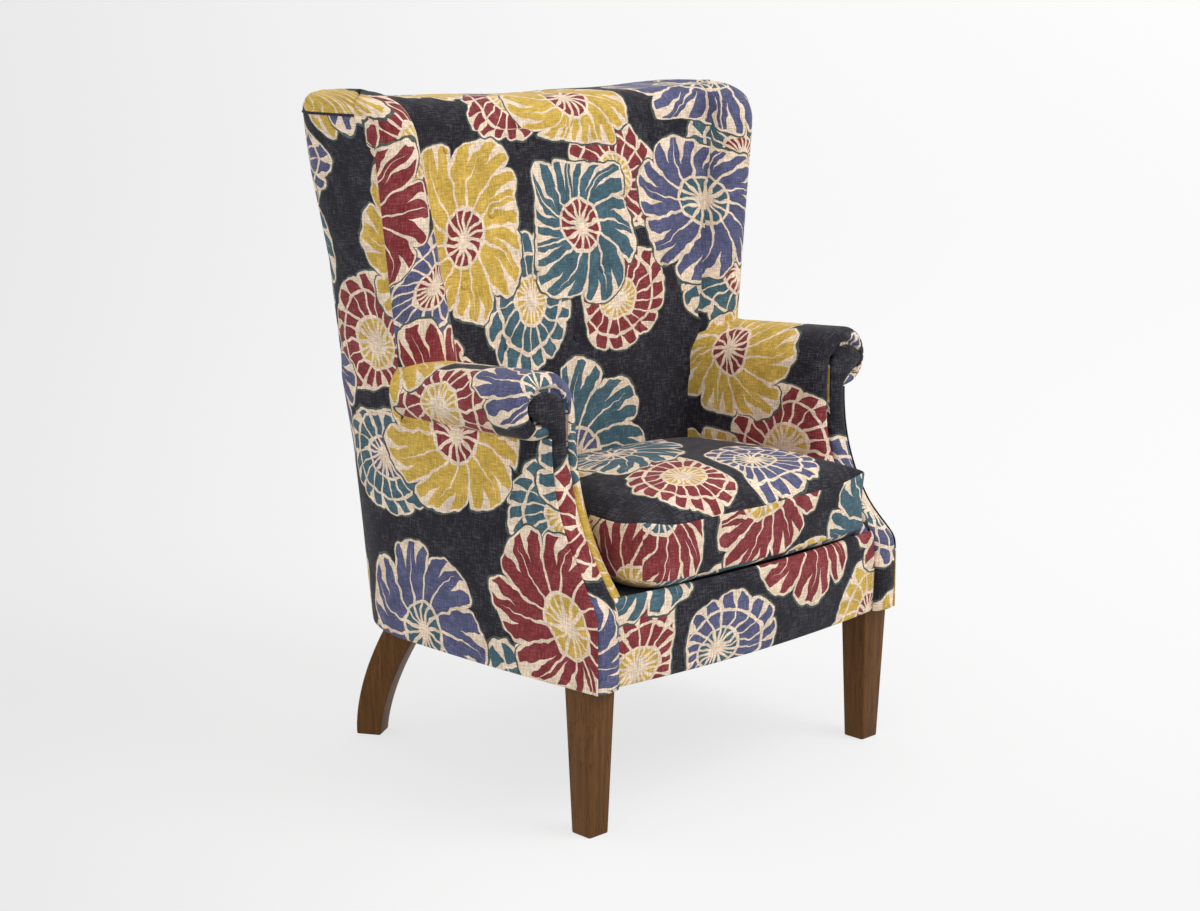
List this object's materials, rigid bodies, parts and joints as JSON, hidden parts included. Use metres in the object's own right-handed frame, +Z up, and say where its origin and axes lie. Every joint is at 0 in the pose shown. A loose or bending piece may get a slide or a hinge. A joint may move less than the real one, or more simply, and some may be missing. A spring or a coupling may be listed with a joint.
{
  "type": "wingback armchair",
  "caption": "Upholstered easy chair with shallow wings, scroll arms that sweep back, a buttoned back and a loose seat cushion, on tapered front and raked rear wooden legs.",
  "frame": {"origin": "on the floor under the middle of the chair's bounding box", "axes": "+Z up, -Y towards the front of the seat, +X towards the sitter's left"},
  "size_m": [0.7952, 0.6548, 1.026],
  "materials": {
    "stained_oak": "stained and waxed, satin",
    "beech_frame": "bare, sawn and planed",
    "printed_linen": "printed plain-weave linen, matte",
    "plain_linen": "plain weave, matte",
    "webbing": "woven jute strap",
    "black_cambric": "thin black dust cloth"
  },
  "bodies": {
    "chair_body": {"front_leg_left": "stained_oak", "front_leg_right": "stained_oak", "rear_leg_left": "stained_oak", "rear_leg_right": "stained_oak", "front_seat_rail": "beech_frame", "back_seat_rail": "beech_frame", "back_lower_rail": "beech_frame", "back_top_rail": "beech_frame", "side_seat_rail_left": "beech_frame", "side_seat_rail_right": "beech_frame", "rear_corner_rail_left": "beech_frame", "rear_corner_rail_right": "beech_frame", "front_corner_block_left": "beech_frame", "front_corner_block_right": "beech_frame", "front_arm_post_left": "beech_frame", "front_arm_post_right": "beech_frame", "arm_rail_left": "beech_frame", "arm_rail_right": "beech_frame", "arm_tack_rail_left": "beech_frame", "arm_tack_rail_right": "beech_frame", "wing_post_left": "beech_frame", "wing_post_right": "beech_frame", "wing_top_rail_left": "beech_frame", "wing_top_rail_right": "beech_frame", "back_upright_left": "beech_frame", "back_upright_right": "beech_frame", "arm_pad_left": "printed_linen", "arm_pad_right": "printed_linen", "arm_facing_left": "printed_linen", "arm_facing_right": "printed_linen", "wing_pad_left": "printed_linen", "wing_pad_right": "printed_linen", "outside_side_left": "printed_linen", "outside_side_right": "printed_linen", "inside_back": "printed_linen", "outside_back": "printed_linen", "front_border": "printed_linen", "back_button_1": "printed_linen", "back_button_2": "printed_linen", "back_button_3": "printed_linen", "back_button_4": "printed_linen", "back_button_5": "printed_linen", "back_button_6": "printed_linen", "back_button_7": "printed_linen", "back_button_8": "printed_linen", "back_button_9": "printed_linen", "back_button_10": "printed_linen", "back_button_11": "printed_linen", "back_button_12": "printed_linen", "back_button_13": "printed_linen", "back_button_14": "printed_linen", "seat_deck": "plain_linen", "seat_web_1": "webbing", "seat_web_2": "webbing", "seat_web_3": "webbing", "seat_web_4": "webbing", "dust_cover": "black_cambric"},
    "cushion": {"seat_cushion": "printed_linen"}
  },
  "joints": [
    {"name": "cushion_slide", "type": "slide", "parent": "chair_body", "child": "cushion", "axis": [0, -1, 0], "range_m": [0, 0.5]}
  ]
}
